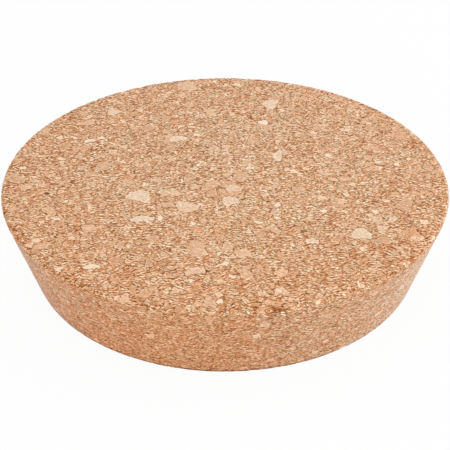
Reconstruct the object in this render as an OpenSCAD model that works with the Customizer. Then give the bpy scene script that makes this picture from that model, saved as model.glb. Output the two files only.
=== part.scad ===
// Tapered cork stopper, a one-piece lid for a wide jar.
// It stands on its narrow base, with the origin at the centre of the base face and +Z up.
// Sizes are in millimetres.

/* [Body] */
// Diameter over the top rim
top_d = 100; // [60:0.5:160]
// Diameter at which the flank would meet the base if its edge were sharp
base_d = 88; // [50:0.5:150]
// Height from the base face to the top face
height = 20; // [8:0.5:60]

/* [Edges] */
// Radius of the eased rim round the top face
rim_r = 0.8; // [0.2:0.1:3]
// Radius of the eased edge round the base face
base_edge_r = 0.8; // [0.2:0.1:3]

/* [Hidden] */
$fn = 180;
cork_colour = [0.82, 0.64, 0.50];

// The rim's arc touches the top face and the top diameter.
rim_centre = [top_d / 2 - rim_r, height - rim_r];

// The flank is the line from the sharp base corner that touches the rim's arc.
base_corner = [base_d / 2, 0];
to_rim = rim_centre - base_corner;
flank_lean = atan2(to_rim[0], to_rim[1]) + asin(rim_r / norm(to_rim));
flank_normal = [cos(flank_lean), -sin(flank_lean)];

// The base edge's arc touches the base face and the flank.
base_edge_inset = base_edge_r * (1 / cos(flank_lean) - tan(flank_lean));
base_edge_centre = base_corner + [-base_edge_inset, base_edge_r];

// Half section of the stopper, with its axis on the left.
// Straight lines join the points where the arcs begin and end, and the two circles fill the arcs out.
module half_section() {
    polygon([
        [0, 0],
        [base_edge_centre[0], 0],
        base_edge_centre + base_edge_r * flank_normal,
        rim_centre + rim_r * flank_normal,
        [rim_centre[0], height],
        [0, height],
    ]);
    translate(base_edge_centre) circle(r = base_edge_r);
    translate(rim_centre) circle(r = rim_r);
}

// The stopper, turned from its half section.
module stopper() {
    color(cork_colour)
        rotate_extrude()
            half_section();
}

stopper();
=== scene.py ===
"""The looks of the cork stopper: a tapered disc of granulated cork, ground smooth, on a white studio floor."""

import math

import bpy
from mathutils import Euler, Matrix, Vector


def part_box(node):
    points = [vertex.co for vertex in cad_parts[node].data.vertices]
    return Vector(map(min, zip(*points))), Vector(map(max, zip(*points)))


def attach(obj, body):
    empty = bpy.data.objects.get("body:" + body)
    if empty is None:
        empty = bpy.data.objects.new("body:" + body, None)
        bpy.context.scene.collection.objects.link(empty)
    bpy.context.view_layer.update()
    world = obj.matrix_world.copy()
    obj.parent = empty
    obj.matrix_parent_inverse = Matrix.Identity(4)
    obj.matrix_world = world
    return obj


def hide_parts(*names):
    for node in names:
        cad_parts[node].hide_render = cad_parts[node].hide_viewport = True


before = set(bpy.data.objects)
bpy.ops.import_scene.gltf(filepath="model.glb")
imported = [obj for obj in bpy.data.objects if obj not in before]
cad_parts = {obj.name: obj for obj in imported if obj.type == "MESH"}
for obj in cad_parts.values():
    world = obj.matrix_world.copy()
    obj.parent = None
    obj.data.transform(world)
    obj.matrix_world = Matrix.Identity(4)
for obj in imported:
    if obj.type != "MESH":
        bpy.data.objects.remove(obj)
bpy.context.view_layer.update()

# Sizes of the stopper, in metres. The rim and the height come from the frame.
MM = 0.001
low_corner, high_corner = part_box("stopper")
TOP_R = (high_corner.x - low_corner.x) / 2
HEIGHT = high_corner.z - low_corner.z
BASE_R = 44 * MM
RIM_R = 0.8 * MM
BASE_EDGE_R = 0.8 * MM

# Spacing of the mesh on the faces that show, on the rounded edges and on the base.
FINE_STEP = 0.42 * MM
EDGE_STEP = 0.3 * MM
BASE_STEP = 1.2 * MM

# The camera of the photograph, fitted to the stopper's outline. It is placed by its distance from the middle
# of the top face and its elevation above that face, and it looks down by its pitch. Angles are in degrees.
CAMERA_ELEVATION = 31.28
CAMERA_DISTANCE = 264.95 * MM
CAMERA_PITCH = 33.645
CAMERA_LENS = 93.89
CAMERA_SENSOR = 36.0


# Node trees


class Nodes:
    """Adds nodes to a shader tree or a geometry tree, so that one description of the cork serves both."""

    def __init__(self, tree):
        self.tree = tree

    def add(self, kind, inputs=None, **settings):
        node = self.tree.nodes.new(kind)
        for name, value in settings.items():
            setattr(node, name, value)
        for name, value in (inputs or {}).items():
            self.feed(node.inputs[name], value)
        return node

    def feed(self, socket, value):
        if isinstance(value, bpy.types.NodeSocket):
            self.tree.links.new(value, socket)
        else:
            socket.default_value = value

    def math(self, operation, a, b=0.0):
        return self.add("ShaderNodeMath", {0: a, 1: b}, operation=operation).outputs[0]

    def scaled(self, value, factor, offset=0.0):
        inputs = {0: value, 1: factor, 2: offset}
        return self.add("ShaderNodeMath", inputs, operation="MULTIPLY_ADD").outputs[0]

    def vector(self, operation, a, b):
        return self.add("ShaderNodeVectorMath", {0: a, 1: b}, operation=operation).outputs[0]

    def stretched(self, a, factor):
        return self.add("ShaderNodeVectorMath", {0: a, "Scale": factor}, operation="SCALE").outputs[0]

    def turned(self, a, angle):
        """The vector a, turned about the stopper's axis by an angle in radians."""
        inputs = {"Vector": a, "Angle": angle}
        return self.add("ShaderNodeVectorRotate", inputs, rotation_type="Z_AXIS").outputs[0]

    def split(self, value):
        return self.add("ShaderNodeSeparateXYZ", {0: value}).outputs

    def joined(self, x, y, z):
        return self.add("ShaderNodeCombineXYZ", {0: x, 1: y, 2: z}).outputs[0]

    def blend(self, share, a, b):
        """The number a where share is 0, and b where it is 1."""
        return self.add("ShaderNodeMix", {0: share, 2: a, 3: b}, data_type="FLOAT").outputs[0]

    def chosen(self, share, a, b):
        """The vector a where share is 0, and b where it is 1."""
        return self.add("ShaderNodeMix", {0: share, 4: a, 5: b}, data_type="VECTOR").outputs[1]

    def mixed(self, share, a, b):
        """The colour a where share is 0, and b where it is 1."""
        return self.add("ShaderNodeMix", {0: share, 6: a, 7: b}, data_type="RGBA").outputs[2]

    def tinted(self, share, colour, tint):
        """Multiplies a colour by a tint, in part or in full."""
        inputs = {0: share, 6: colour, 7: tint}
        return self.add("ShaderNodeMix", inputs, data_type="RGBA", blend_type="MULTIPLY").outputs[2]

    def rise(self, value, low, high, bottom=0.0, top=1.0):
        """Goes smoothly from bottom to top as value goes from low to high."""
        inputs = {"Value": value, "From Min": low, "From Max": high, "To Min": bottom, "To Max": top}
        return self.add("ShaderNodeMapRange", inputs, interpolation_type="SMOOTHSTEP").outputs[0]

    def noise(self, place, size, detail=2.0, roughness=0.5):
        """Noise whose lumps are about size millimetres across."""
        inputs = {"Vector": place, "Scale": 1 / size, "Detail": detail, "Roughness": roughness}
        return self.add("ShaderNodeTexNoise", inputs)

    def shaken(self, place, size, reach):
        """Moves places about at random, by lumps of a size, so that straight edges come out ragged."""
        wander = self.noise(place, size, roughness=0.6).outputs["Color"]
        wander = self.vector("SUBTRACT", wander, (0.5, 0.5, 0.5))
        return self.vector("ADD", place, self.vector("MULTIPLY", wander, (reach, reach, reach)))

    def cells(self, place, size):
        """Cells about size millimetres across: the depth inside a cell, and the cell's random numbers."""
        inputs = {"Vector": place, "Scale": 1 / size}
        whole = self.add("ShaderNodeTexVoronoi", inputs, feature="F1")
        walls = self.add("ShaderNodeTexVoronoi", inputs, feature="DISTANCE_TO_EDGE")
        return self.math("MULTIPLY", walls.outputs["Distance"], size), self.split(whole.outputs["Color"])

    def spots(self, place, size):
        """Points about size millimetres apart: the distance to the nearest, and its random numbers."""
        whole = self.add("ShaderNodeTexVoronoi", {"Vector": place, "Scale": 1 / size}, feature="F1")
        return self.math("MULTIPLY", whole.outputs["Distance"], size), self.split(whole.outputs["Color"])


# The cork


# Pressing flattens the granules by this much along the stopper's axis.
FLATTEN = 1.4

# The grain on the flank runs round the stopper: the unrolled flank is scaled by this much along and up.
FLANK_ALONG, FLANK_UP = 0.86, 1.32

# Sizes in millimetres: granules, the gap between their growth lines, the crumbs and dust they break into, and
# the spacing of the places for pores.
GRANULE, LINE_GAP, CRUMB, DUST, PORE_GAP = 1.6, 0.7, 0.62, 0.36, 3.6

# Crumbs and pores are long along the growth lines: places are scaled by this much along, over and above them.
CRUMB_SHAPE, PORE_SHAPE = (0.5, 1.25, 1.0), (0.5, 1.5, 1.0)

# Tones go from 0, dark, to 1, pale. A granule starts from a base tone, plus up to its spread.
GRANULE_TONE, GRANULE_SPREAD = 0.435, 0.04

# What growth lines and bright crumbs add to the tone. For crumbs, dust and the solid middles of crumbs it is
# the range of what they add, and where that range starts.
LINE_TONE, BRIGHT_TONE = 0.19, 0.20
# The middles of crumbs are paler and their walls darker: partly dark gaps between crumbs, partly painted
# shading of their rounded shape.
CRUMB_TONE, DUST_TONE, BODY_AND_SHADING_TONE = (0.14, -0.07), (0.60, -0.19), (0.54, -0.26)

# What seams, pores, tears at the left and elsewhere, and the painted shade at the foot take from the tone.
SEAM_TONE, FLAKE_SEAM_TONE, PORE_TONE, TEAR_TONES, FOOT_SHADE_TONE = 0.10, 0.26, 0.55, (0.28, 0.14), 0.55

# How far, in millimetres, places sink below the turned surface.
GRANULE_SINK, SEAM_SINK, FLAKE_SINK, PORE_SINK, TEAR_SINK = 0.06, 0.05, 0.02, 0.22, 0.20

# How much of the grit around it a flake's face keeps, and how much paler its edge is.
FLAKE_GRIT, FLAKE_EDGE_TONE = 0.44, 0.10

# Flakes among the granules: size, shares of places filled on the top and on the flank, inset from the cell's
# wall, tones from and to, and milkiness.
FLAKES = (
    (1.4, 0.11, 0.05, 0.05, 0.50, 0.96, 0.6),
    (2.2, 0.07, 0.02, 0.12, 0.48, 0.68, 0.7),
    (3.2, 0.06, 0.01, 0.26, 0.48, 0.68, 0.9),
    (4.8, 0.04, 0.00, 0.55, 0.52, 0.70, 1.0),
)

# The flakes and specks that stand out on the top face, by kind. Each kind has its tone, warmth and milkiness,
# and then its flakes: place across and back from the middle, length, width, and the length's turn in degrees.
CREAM, PINKISH, TAN = (0.77, 0.50, 1.0), (0.72, 0.35, 1.0), (0.58, 0.15, 0.8)
WHITE, DARK = (1.00, 0.45, 1.0), (0.00, 0.20, 0.0)
LANDMARKS = (
    (DARK, (
        (9.6, 4.2, 1.4, 0.7, 30), (-6.9, -25.0, 1.1, 0.6, 0), (34.7, -28.3, 1.6, 0.6, -50),
        (5.9, -48.1, 1.6, 0.7, -20), (9.9, -48.4, 1.8, 0.6, 10),
    )),
    (CREAM, (
        (-18.7, -8.0, 5.6, 4.4, -25), (28.5, -22.9, 4.4, 4.0, 0), (11.2, 35.0, 5.0, 3.6, 75),
        (-27.6, 30.9, 3.4, 3.0, 40), (-17.7, -17.2, 5.4, 1.9, 5), (12.2, 9.4, 5.2, 1.9, 85),
        (18.1, -25.6, 2.8, 1.9, 10), (-11.2, 17.6, 4.2, 2.4, 10),
    )),
    (PINKISH, (
        (-8.4, -12.8, 5.4, 3.8, 160), (1.0, -10.0, 3.8, 3.4, 30), (-6.0, -36.2, 4.4, 2.2, 15),
        (2.0, -4.8, 3.6, 2.8, 0), (10.9, -42.7, 2.6, 2.2, 0),
    )),
    (TAN, (
        (-6.2, -28.7, 5.2, 3.8, 80), (-2.8, -2.9, 3.8, 2.8, 20),
    )),
    (WHITE, (
        (9.4, 25.4, 2.8, 1.9, -30), (-29.4, 17.8, 1.7, 1.2, 0), (-32.1, 16.5, 3.0, 1.4, 20),
        (-26.9, -34.7, 3.6, 1.5, 10), (26.3, -40.6, 2.6, 0.6, 95),
    )),
)

# How deep those flakes reach below the top face, in millimetres before pressing.
LANDMARK_DEEP = 3.0


def surface_shares(n, position):
    """How far a position counts as flank and as rim, from 0 to 1, and its place in the sheet of the grain.

    The sheet is the top face itself, and beside it the flank as if unrolled. The flank is unrolled from the
    front and, far from there in the sheet, from the back. The halves meet along a ragged line at the sides.
    """
    across, back, up = n.split(position)
    squares = n.math("ADD", n.math("MULTIPLY", across, across), n.math("MULTIPLY", back, back))
    radius = n.math("SQRT", squares)
    below_rim = n.rise(up, HEIGHT - 1.0 * MM, HEIGHT - 0.1 * MM, 1.0, 0.0)
    above_base = n.rise(up, 0.05 * MM, 0.8 * MM)
    flank = n.math("MULTIPLY", below_rim, above_base)
    inward = n.math("SUBTRACT", TOP_R, radius)
    downward = n.math("SUBTRACT", HEIGHT, up)
    rim = n.rise(n.math("ADD", inward, downward), 0.4 * MM, 3.2 * MM, 1.0, 0.0)

    from_front = n.scaled(n.math("ARCTAN2", across, n.math("MULTIPLY", back, -1.0)), FLANK_ALONG * TOP_R)
    from_back = n.scaled(n.math("ARCTAN2", across, back), FLANK_ALONG * TOP_R, 10 * TOP_R)
    wander = n.noise(n.stretched(position, 1 / MM), 3.0).outputs[0]
    behind = n.math("GREATER_THAN", n.math("ADD", back, n.scaled(wander, 6 * MM, -3 * MM)), 0.0)
    unrolled = n.joined(n.blend(behind, from_front, from_back), n.math("MULTIPLY", up, FLANK_UP), radius)
    on_flank = n.math("GREATER_THAN", flank, 0.5)
    sheet = n.chosen(on_flank, position, unrolled)
    return {"flank": flank, "rim": rim, "across": across, "back": back, "up": up, "radius": radius,
            "on_flank": on_flank, "sheet": sheet}


def dig(n, cork, share, tone, sink):
    """Darkens the cork and sinks it, in full where share is 1."""
    cork["tone"] = n.math("SUBTRACT", cork["tone"], n.math("MULTIPLY", share, tone))
    cork["sink"] = n.math("ADD", cork["sink"], n.scaled(share, sink))


def grit_tone(n, surface, own_way):
    """What growth lines, crumbs and dust add to a granule's tone, and how solid the crumbs are, from 0 to 1.

    The grit is stronger towards the back, and the crumbs are plainer on the flank.
    """
    _, over, above = n.split(own_way)
    lines = n.math("SINE", n.scaled(n.math("ADD", over, n.scaled(above, 0.6)), 2 * math.pi / LINE_GAP))
    slender = n.vector("MULTIPLY", own_way, CRUMB_SHAPE)
    depth, pick = n.cells(slender, CRUMB)
    body = n.rise(depth, 0.0, 0.16)
    bright = n.math("MULTIPLY", n.rise(pick[1], 0.74, 0.80), n.rise(depth, 0.05, 0.12))
    crumbs = n.math("ADD", n.scaled(pick[0], *CRUMB_TONE), n.scaled(bright, BRIGHT_TONE))
    crumbs = n.math("MULTIPLY", crumbs, n.scaled(surface["on_flank"], -0.4, 1.0))
    dust = n.math("POWER", n.spots(slender, DUST)[1][0], 2.0)
    grit = n.math("ADD", n.scaled(lines, LINE_TONE), crumbs)
    grit = n.math("ADD", grit, n.scaled(dust, *DUST_TONE))
    # Partly dark gaps, partly painted shading: crumbs paler in the middle and darker at their walls.
    grit = n.math("ADD", grit, n.scaled(body, *BODY_AND_SHADING_TONE))
    grit = n.math("MULTIPLY", grit, n.scaled(surface["on_flank"], -0.04, 1.0))
    grit = n.math("MULTIPLY", grit, n.rise(surface["back"], -45 * MM, 45 * MM, 0.94, 1.10))
    return grit, body


def fill_granules(n, cork, ragged):
    """Fills the cork with granules. Each has its own tone, and growth lines that run its own way."""
    depth, pick = n.cells(ragged, GRANULE)
    own_way = n.turned(ragged, n.scaled(pick[2], 0.5 * math.pi, -0.25 * math.pi))
    own_way = n.stretched(own_way, n.scaled(pick[1], 0.5, 0.8))
    cork["own_way"] = own_way
    cork["grit"], body = grit_tone(n, cork["surface"], own_way)
    cork["tone"] = n.math("ADD", n.scaled(pick[0], GRANULE_SPREAD, GRANULE_TONE), cork["grit"])
    cork["gap"] = n.math("SUBTRACT", 1.0, body)
    cork["warmth"] = n.scaled(pick[2], 0.8, 0.1)
    cork["milk"] = n.scaled(pick[0], 0.2)
    cork["sink"] = n.scaled(pick[0], GRANULE_SINK)

    # Thin dark seams part some granules from their neighbours.
    seam = n.math("MULTIPLY", n.rise(depth, 0.0, 0.12, 1.0, 0.0), cork["broken"])
    dig(n, cork, seam, SEAM_TONE, SEAM_SINK)
    cork["gap"] = n.math("MAXIMUM", cork["gap"], seam)


def lay_flakes(n, cork, depth, there, face_tone, face_warmth, milkiness):
    """Lays smooth flakes with pale edges and thin broken seams over the granules.

    Depth is in millimetres inside a flake's edge, and there is 1 where a flake may be.
    """
    depth = n.math("ADD", depth, n.scaled(cork["grit"], 0.08))
    face = n.math("MULTIPLY", there, n.rise(depth, 0.0, 0.06))
    seam = n.math("MULTIPLY", there, n.rise(depth, -0.18, -0.04))
    seam = n.math("MULTIPLY", n.math("SUBTRACT", seam, face), cork["broken"])
    edge = n.rise(depth, 0.1, 0.4, FLAKE_EDGE_TONE, 0.0)
    face_tone = n.math("ADD", n.scaled(cork["grit"], FLAKE_GRIT), n.math("ADD", face_tone, edge))
    tone = n.blend(face, cork["tone"], face_tone)
    cork["tone"] = n.math("SUBTRACT", tone, n.math("MULTIPLY", seam, FLAKE_SEAM_TONE))
    cork["gap"] = n.math("MAXIMUM", n.math("MULTIPLY", cork["gap"], n.scaled(face, -0.7, 1.0)), seam)
    cork["warmth"] = n.blend(face, cork["warmth"], face_warmth)
    cork["milk"] = n.blend(face, cork["milk"], milkiness)
    cork["sink"] = n.blend(face, cork["sink"], FLAKE_SINK)


def scatter_flakes(n, cork, ragged):
    """Scatters pale flakes among the granules. Grinding has left fewer of them on the flank."""
    on_flank = cork["surface"]["on_flank"]
    for size, top_filled, flank_filled, inset, low_tone, high_tone, milkiness in FLAKES:
        depth, pick = n.cells(n.vector("ADD", ragged, (31.0 * size, 17.0, 9.0)), size)
        there = n.math("LESS_THAN", pick[0], n.scaled(on_flank, flank_filled - top_filled, top_filled))
        face_tone = n.scaled(n.math("POWER", pick[1], 2.0), high_tone - low_tone, low_tone)
        face_warmth = n.scaled(pick[2], 0.4, 0.1)
        milk = n.scaled(pick[2], 0.8 * milkiness, 0.4 * milkiness)
        lay_flakes(n, cork, n.math("SUBTRACT", depth, inset), there, face_tone, face_warmth, milk)


def flake_depth(n, ragged, across, back, length, width, turn):
    """How far inside one six-sided flake of the top face a place lies, in millimetres."""
    from_middle = n.vector("SUBTRACT", ragged, (across, back, FLATTEN * HEIGHT / MM))
    own = n.turned(from_middle, -math.radians(turn))
    along, over, deep = n.split(n.vector("MULTIPLY", own, (2 / length, 2 / width, 1 / LANDMARK_DEEP)))
    sides = n.math("MAXIMUM", n.math("ABSOLUTE", over), n.math("ABSOLUTE", deep))
    ends = n.math("ADD", n.math("ABSOLUTE", along), n.scaled(n.math("ABSOLUTE", over), 0.35))
    ends = n.math("ADD", ends, n.scaled(over, 0.3))
    return n.scaled(n.math("MAXIMUM", ends, sides), -width / 2, width / 2)


def set_landmarks(n, cork, ragged):
    """Lays the flakes that stand out at the top face."""
    for (face_tone, face_warmth, milkiness), flakes in LANDMARKS:
        nearest = -1.0
        for flake in flakes:
            nearest = n.math("MAXIMUM", flake_depth(n, ragged, *flake), nearest)
        lay_flakes(n, cork, nearest, 1.0, face_tone, face_warmth, milkiness)


def open_pores(n, cork):
    """Opens small dark slits along the grain."""
    distance, pick = n.spots(n.vector("MULTIPLY", cork["own_way"], PORE_SHAPE), PORE_GAP)
    there = n.math("LESS_THAN", pick[0], 0.06)
    pore = n.math("MULTIPLY", n.rise(distance, 0.14, 0.34, 1.0, 0.0), there)
    dig(n, cork, pore, PORE_TONE, PORE_SINK)
    cork["gap"] = n.math("MAXIMUM", cork["gap"], pore)


def tear_rim(n, cork, ragged):
    """Tears the rim a little, in specks that are darkest at the left."""
    surface = cork["surface"]
    lumps = n.noise(n.vector("MULTIPLY", ragged, (1.0, 1.0, 0.6)), 1.5, roughness=0.6).outputs[0]
    cork["torn"] = n.math("MULTIPLY", n.rise(lumps, 0.50, 0.66), surface["rim"])
    tear_tone = n.rise(surface["across"], -40 * MM, -10 * MM, *TEAR_TONES)
    dig(n, cork, cork["torn"], tear_tone, TEAR_SINK)


def paint_foot_shade(n, cork):
    """Darkens the edge that the stopper stands on: painted shade where it meets the floor."""
    foot_shade = n.rise(cork["surface"]["up"], 0.3 * MM, 1.0 * MM, FOOT_SHADE_TONE, 0.0)
    cork["tone"] = n.math("SUBTRACT", cork["tone"], foot_shade)


def cork_field(n, position):
    """Describes the cork at a position in metres.

    Tone, warmth, milk, gap and torn go from 0 to 1. Sink and the lengths inside are in millimetres.
    """
    surface = surface_shares(n, position)
    flat = n.vector("MULTIPLY", surface["sheet"], (1 / MM, 1 / MM, FLATTEN / MM))
    ragged = n.shaken(flat, 1.6, 0.5)
    broken = n.rise(n.noise(flat, 1.3, detail=1.0).outputs[0], 0.34, 0.50)
    cork = {"surface": surface, "broken": broken}
    fill_granules(n, cork, ragged)
    scatter_flakes(n, cork, ragged)
    set_landmarks(n, cork, ragged)
    open_pores(n, cork)
    tear_rim(n, cork, ragged)
    paint_foot_shade(n, cork)
    cloudy = n.scaled(n.noise(flat, 9.0).outputs[0], 0.8, -0.4)
    cork["warmth"] = n.math("ADD", cork["warmth"], cloudy)
    return cork


# The cork's colours


# Tones of the granules, as places from 0 to 1 with sRGB colours from 0 to 255.
CORK_TONES = (
    (0.00, (122, 64, 28)),
    (0.10, (166, 103, 57)),
    (0.20, (189, 124, 71)),
    (0.40, (213, 158, 109)),
    (0.60, (231, 185, 142)),
    (0.80, (246, 216, 183)),
    (1.00, (255, 242, 220)),
)

# The flakes are milkier.
FLAKE_TONES = (
    (0.00, (120, 75, 45)),
    (0.30, (192, 146, 110)),
    (0.50, (220, 178, 143)),
    (0.65, (231, 194, 161)),
    (0.80, (240, 213, 185)),
    (1.00, (252, 237, 217)),
)

# Tints that multiply the tones, from ruddy cork to yellowish cork.
CORK_TINTS = (
    (0.0, (255, 240, 230)),
    (0.5, (253, 250, 246)),
    (1.0, (249, 255, 253)),
)

# Grinding burnishes the outer top, which leaves it ruddier. The same tint on the flank, stronger towards its
# base and its left, is painted shade.
BURNISH_AND_SHADE_TINT = (1.0, 0.82, 0.68, 1.0)

# Roughness of the faces of granules and of the gaps between them.
FACE_ROUGHNESS, GAP_ROUGHNESS = 0.60, 0.85


def srgb(colour):
    """Linear colour of an sRGB colour from 0 to 255."""
    shares = [c / 255 for c in colour]
    return [s / 12.92 if s <= 0.04045 else ((s + 0.055) / 1.055) ** 2.4 for s in shares]


def ramp(n, value, stops):
    """A colour ramp. The stops are places from 0 to 1 with sRGB colours from 0 to 255."""
    node = n.add("ShaderNodeValToRGB", {0: value})
    elements = node.color_ramp.elements
    while len(elements) < len(stops):
        elements.new(0.5)
    for element, (at, colour) in zip(elements, stops):
        element.position = at
        element.color = (*srgb(colour), 1.0)
    return node.outputs["Color"]


def burnish_and_shade_share(n, cork):
    """How ruddy the cork is, from 0 to 1: painted shade on the flank towards its base and left, and the
    burnished outer top and tears.
    """
    surface = cork["surface"]
    # Painted shade: the flank gets ruddier and darker towards the base and towards the left.
    lower = n.rise(surface["up"], 0.0, HEIGHT, 1.0, 0.55)
    left = n.rise(surface["across"], -8 * MM, 26 * MM, 1.0, 0.0)
    far_left = n.rise(surface["across"], -32 * MM, 0.0, 1.0, 0.78)
    flank_shade = n.math("MULTIPLY", surface["flank"], far_left)
    flank_shade = n.math("MULTIPLY", flank_shade, n.math("MULTIPLY", lower, left))
    outer_share = n.rise(surface["radius"], 20 * MM, 48 * MM)
    outer_share = n.math("MULTIPLY", outer_share, n.scaled(left, 0.08, 0.26))
    outer_share = n.math("MULTIPLY", outer_share, n.scaled(surface["flank"], -0.7, 1.0))
    burnish_and_shade = n.math("MAXIMUM", flank_shade, outer_share)
    return n.math("MAXIMUM", burnish_and_shade, cork["torn"])


def cork_material():
    material = bpy.data.materials.new("cork")
    material.use_nodes = True
    tree = material.node_tree
    n = Nodes(tree)
    shader = tree.nodes["Principled BSDF"]
    cork = cork_field(n, n.add("ShaderNodeTexCoord").outputs["Object"])
    colour = n.mixed(cork["milk"], ramp(n, cork["tone"], CORK_TONES), ramp(n, cork["tone"], FLAKE_TONES))
    colour = n.tinted(1.0, colour, ramp(n, cork["warmth"], CORK_TINTS))
    # The burnished outer top and tears, and painted shade on the flank towards its base and left.
    colour = n.tinted(burnish_and_shade_share(n, cork), colour, BURNISH_AND_SHADE_TINT)
    n.feed(shader.inputs["Base Color"], colour)

    roughness = n.scaled(cork["gap"], GAP_ROUGHNESS - FACE_ROUGHNESS, FACE_ROUGHNESS)
    n.feed(shader.inputs["Roughness"], roughness)
    shader.inputs["Specular IOR Level"].default_value = 0.3
    shader.inputs["Sheen Weight"].default_value = 0.4
    shader.inputs["Sheen Roughness"].default_value = 0.3
    height = n.math("SUBTRACT", 1.0, cork["gap"])
    bump = n.add("ShaderNodeBump", {"Height": height, "Strength": 0.2, "Distance": 0.06 * MM})
    n.feed(shader.inputs["Normal"], bump.outputs["Normal"])
    return material


# The mesh


def profile_rings():
    """Rings of the turned surface from the top's middle down to the base's middle.

    Each is (region, radius, height, points). Regions are top, flank and base, and the rounded edges are flank.
    """
    rim_r, rim_z = TOP_R - RIM_R, HEIGHT - RIM_R
    across, up = rim_r - BASE_R, rim_z
    lean = math.atan2(across, up) + math.asin(RIM_R / math.hypot(across, up))
    edge_r = BASE_R - BASE_EDGE_R * (1 / math.cos(lean) - math.tan(lean))

    count = round(rim_r / FINE_STEP)
    rings = [("top", rim_r * k / count, HEIGHT, 6 * k) for k in range(count + 1)]
    around = 6 * count

    def arc(centre_r, centre_z, radius, first, last):
        steps = max(3, round(radius * abs(last - first) / EDGE_STEP))
        for k in range(1, steps + 1):
            angle = first + (last - first) * k / steps
            place = centre_r + radius * math.cos(angle), centre_z + radius * math.sin(angle)
            rings.append(("flank", *place, around))

    arc(rim_r, rim_z, RIM_R, math.pi / 2, -lean)
    start_r, start_z = rings[-1][1:3]
    end_r = edge_r + BASE_EDGE_R * math.cos(-lean)
    end_z = BASE_EDGE_R + BASE_EDGE_R * math.sin(-lean)
    rows = round(math.hypot(end_r - start_r, end_z - start_z) / FINE_STEP)
    for k in range(1, rows + 1):
        place = start_r + (end_r - start_r) * k / rows, start_z + (end_z - start_z) * k / rows
        rings.append(("flank", *place, around))
    arc(edge_r, BASE_EDGE_R, BASE_EDGE_R, -lean, -math.pi / 2)

    count = round(edge_r / BASE_STEP)
    rings += [("base", edge_r * k / count, 0.0, 6 * k) for k in range(count - 1, -1, -1)]
    return rings


def join_rings(first, first_count, second, second_count):
    """Triangles between two neighbouring rings of points spread evenly round the axis.

    A corner is (ring, step), where the last step of a ring comes back to its first point.
    """
    faces = []
    i = j = 0
    while i < first_count or j < second_count:
        first_next = (i + 1) / first_count if first_count else 2.0
        second_next = (j + 1) / second_count if second_count else 2.0
        if j < second_count and second_next <= first_next:
            faces.append(((first, i), (second, j), (second, j + 1)))
            j += 1
        else:
            faces.append(((first, i), (second, j), (first, i + 1)))
            i += 1
    return faces


# Places of the unwrapped faces in the unit square: the middles and radii of the two discs, and the left end,
# the length and the lower edges of the two strips that share the flank.
TOP_MAP = (0.335, 0.665, 0.325)
BASE_MAP = (0.835, 0.835, 0.155)
STRIP_LEFT, STRIP_LENGTH = 0.01, 0.98
STRIP_FOOTS = (0.01, 0.168)


def unwrapped(rings, faces):
    """Coordinates in the unit square for each corner of each face, one after another."""
    down = [0.0]
    for (_, r0, z0, _), (_, r1, z1, _) in zip(rings, rings[1:]):
        down.append(down[-1] + math.hypot(r1 - r0, z1 - z0))
    flank_rings = [k for k, ring in enumerate(rings) if ring[0] == "flank"]
    foot = down[flank_rings[-1]]
    per_metre = STRIP_LENGTH / (math.pi * TOP_R)
    coordinates = []
    for face in faces:
        region = max((rings[ring][0] for ring, _ in face), key=("top", "flank", "base").index)
        half_way = sum(step / max(rings[ring][3], 1) for ring, step in face) / 3
        strip = 0 if half_way < 0.5 else 1
        for ring, step in face:
            _, radius, _, count = rings[ring]
            share = step / max(count, 1)
            if region == "flank":
                coordinates.append(STRIP_LEFT + STRIP_LENGTH * (2 * share - strip))
                coordinates.append(STRIP_FOOTS[strip] + (foot - down[ring]) * per_metre)
            else:
                middle_u, middle_v, size = TOP_MAP if region == "top" else BASE_MAP
                reach = size * radius / TOP_R
                coordinates.append(middle_u + reach * math.cos(2 * math.pi * share))
                coordinates.append(middle_v + reach * math.sin(2 * math.pi * share))
    return coordinates


def stopper_mesh():
    rings = profile_rings()
    points = []
    starts = []
    for _, radius, height, count in rings:
        starts.append(len(points))
        for k in range(max(count, 1)):
            turn = 2 * math.pi * k / max(count, 1)
            points.append((radius * math.cos(turn), radius * math.sin(turn), height))
    faces = []
    for k in range(len(rings) - 1):
        faces += join_rings(k, rings[k][3], k + 1, rings[k + 1][3])
    corners = [[starts[ring] + step % max(rings[ring][3], 1) for ring, step in face] for face in faces]
    mesh = bpy.data.meshes.new("cork_stopper")
    mesh.from_pydata(points, [], corners)
    mesh.uv_layers.new(name="OFBake").uv.foreach_set("vector", unwrapped(rings, faces))
    mesh.shade_smooth()
    mesh.update()
    return mesh


def carve(piece):
    """Sinks the mesh in along its normals by the cork's own relief, so that pits and granules are shapes."""
    tree = bpy.data.node_groups.new("cork_relief", "GeometryNodeTree")
    tree.is_modifier = True
    tree.interface.new_socket("Geometry", in_out="INPUT", socket_type="NodeSocketGeometry")
    tree.interface.new_socket("Geometry", in_out="OUTPUT", socket_type="NodeSocketGeometry")
    n = Nodes(tree)
    start = n.add("NodeGroupInput")
    cork = cork_field(n, n.add("GeometryNodeInputPosition").outputs[0])
    inward = n.stretched(n.add("GeometryNodeInputNormal").outputs[0], n.scaled(cork["sink"], -MM))
    moved = n.add("GeometryNodeSetPosition", {"Geometry": start.outputs[0], "Offset": inward})
    n.add("NodeGroupOutput", {0: moved.outputs[0]})
    piece.modifiers.new("relief", "NODES").node_group = tree
    carved = bpy.data.meshes.new_from_object(piece.evaluated_get(bpy.context.evaluated_depsgraph_get()))
    plain_mesh = piece.data
    piece.modifiers.clear()
    piece.data = carved
    bpy.data.meshes.remove(plain_mesh)


# The studio


# Light from the white world. Then the floor's side in metres, its paint, and the share of it that shows as
# plain white, so that only a soft shadow is left.
WORLD_LIGHT = 0.66
FLOOR_SIDE = 3.0
FLOOR_WHITE = 0.86
FLOOR_GLOW = 0.96
WHITE_LIGHT = (1.0, 1.0, 1.0, 1.0)

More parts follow.
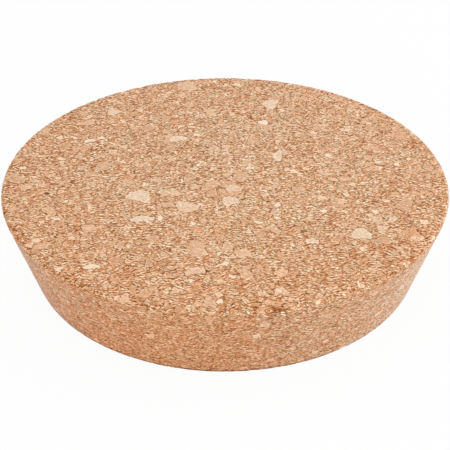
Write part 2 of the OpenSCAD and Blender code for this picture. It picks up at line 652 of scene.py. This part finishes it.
# Square lamps: name, place, target, side and power.
LAMPS = (
    ("overhead", (0.0, 0.1, 0.9), (0.0, 0.0, 0.0), 0.8, 1.3),
    ("front_fill", (-0.45, -0.95, 0.35), (0.0, 0.0, 0.01), 0.8, 3.2),
    ("right_softbox", (0.61, 0.07, 0.22), (0.0, 0.0, 0.01), 0.5, 2.0),
)


def shown_share(n):
    """1 for rays from the camera and for rays that mirror or pass on what it sees, 0 for other rays."""
    path = n.add("ShaderNodeLightPath").outputs
    seen = n.math("MAXIMUM", path["Is Camera Ray"], path["Is Glossy Ray"])
    return n.math("MAXIMUM", seen, path["Is Transmission Ray"])


def make_world():
    world = bpy.data.worlds.new("studio")
    world.use_nodes = True
    n = Nodes(world.node_tree)
    background = world.node_tree.nodes["Background"]
    background.inputs["Color"].default_value = WHITE_LIGHT
    n.feed(background.inputs["Strength"], n.blend(shown_share(n), WORLD_LIGHT, 1.0))
    bpy.context.scene.world = world


def floor_material():
    material = bpy.data.materials.new("floor_white")
    material.use_nodes = True
    tree = material.node_tree
    n = Nodes(tree)
    tree.nodes.remove(tree.nodes["Principled BSDF"])
    paint = n.add("ShaderNodeBsdfDiffuse", {"Color": (FLOOR_WHITE, FLOOR_WHITE, FLOOR_WHITE, 1.0)})
    glow = n.add("ShaderNodeEmission", {"Color": WHITE_LIGHT, "Strength": 1.0})
    share = n.math("MULTIPLY", shown_share(n), FLOOR_GLOW)
    mix = n.add("ShaderNodeMixShader", {0: share, 1: paint.outputs[0], 2: glow.outputs[0]})
    n.feed(tree.nodes["Material Output"].inputs["Surface"], mix.outputs[0])
    return material


def make_floor():
    half = FLOOR_SIDE / 2
    corners = [(-half, -half, 0), (half, -half, 0), (half, half, 0), (-half, half, 0)]
    mesh = bpy.data.meshes.new("floor")
    mesh.from_pydata(corners, [], [(0, 1, 2, 3)])
    mesh.materials.append(floor_material())
    floor = bpy.data.objects.new("floor", mesh)
    bpy.context.scene.collection.objects.link(floor)


def add_lamp(name, place, target, side, power):
    lamp = bpy.data.lights.new(name, "AREA")
    lamp.size = side
    lamp.energy = power
    holder = bpy.data.objects.new(name, lamp)
    holder.location = place
    holder.rotation_euler = (Vector(target) - Vector(place)).to_track_quat("-Z", "Y").to_euler()
    bpy.context.scene.collection.objects.link(holder)


def make_camera():
    elevation = math.radians(CAMERA_ELEVATION)
    camera = bpy.data.cameras.new("camera")
    camera.lens = CAMERA_LENS
    camera.sensor_width = CAMERA_SENSOR
    camera.clip_start = 10 * MM
    holder = bpy.data.objects.new("camera", camera)
    back, up = CAMERA_DISTANCE * math.cos(elevation), CAMERA_DISTANCE * math.sin(elevation)
    holder.location = (0.0, -back, HEIGHT + up)
    holder.rotation_euler = Euler((math.radians(90 - CAMERA_PITCH), 0.0, 0.0))
    bpy.context.scene.collection.objects.link(holder)
    bpy.context.scene.camera = holder


# The scene


stopper = bpy.data.objects.new("cork_stopper", stopper_mesh())
bpy.context.scene.collection.objects.link(stopper)
carve(stopper)
stopper.data.materials.append(cork_material())
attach(stopper, "root")
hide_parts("stopper")

make_world()
make_floor()
for lamp_settings in LAMPS:
    add_lamp(*lamp_settings)
make_camera()

bpy.context.scene.view_settings.view_transform = "Standard"
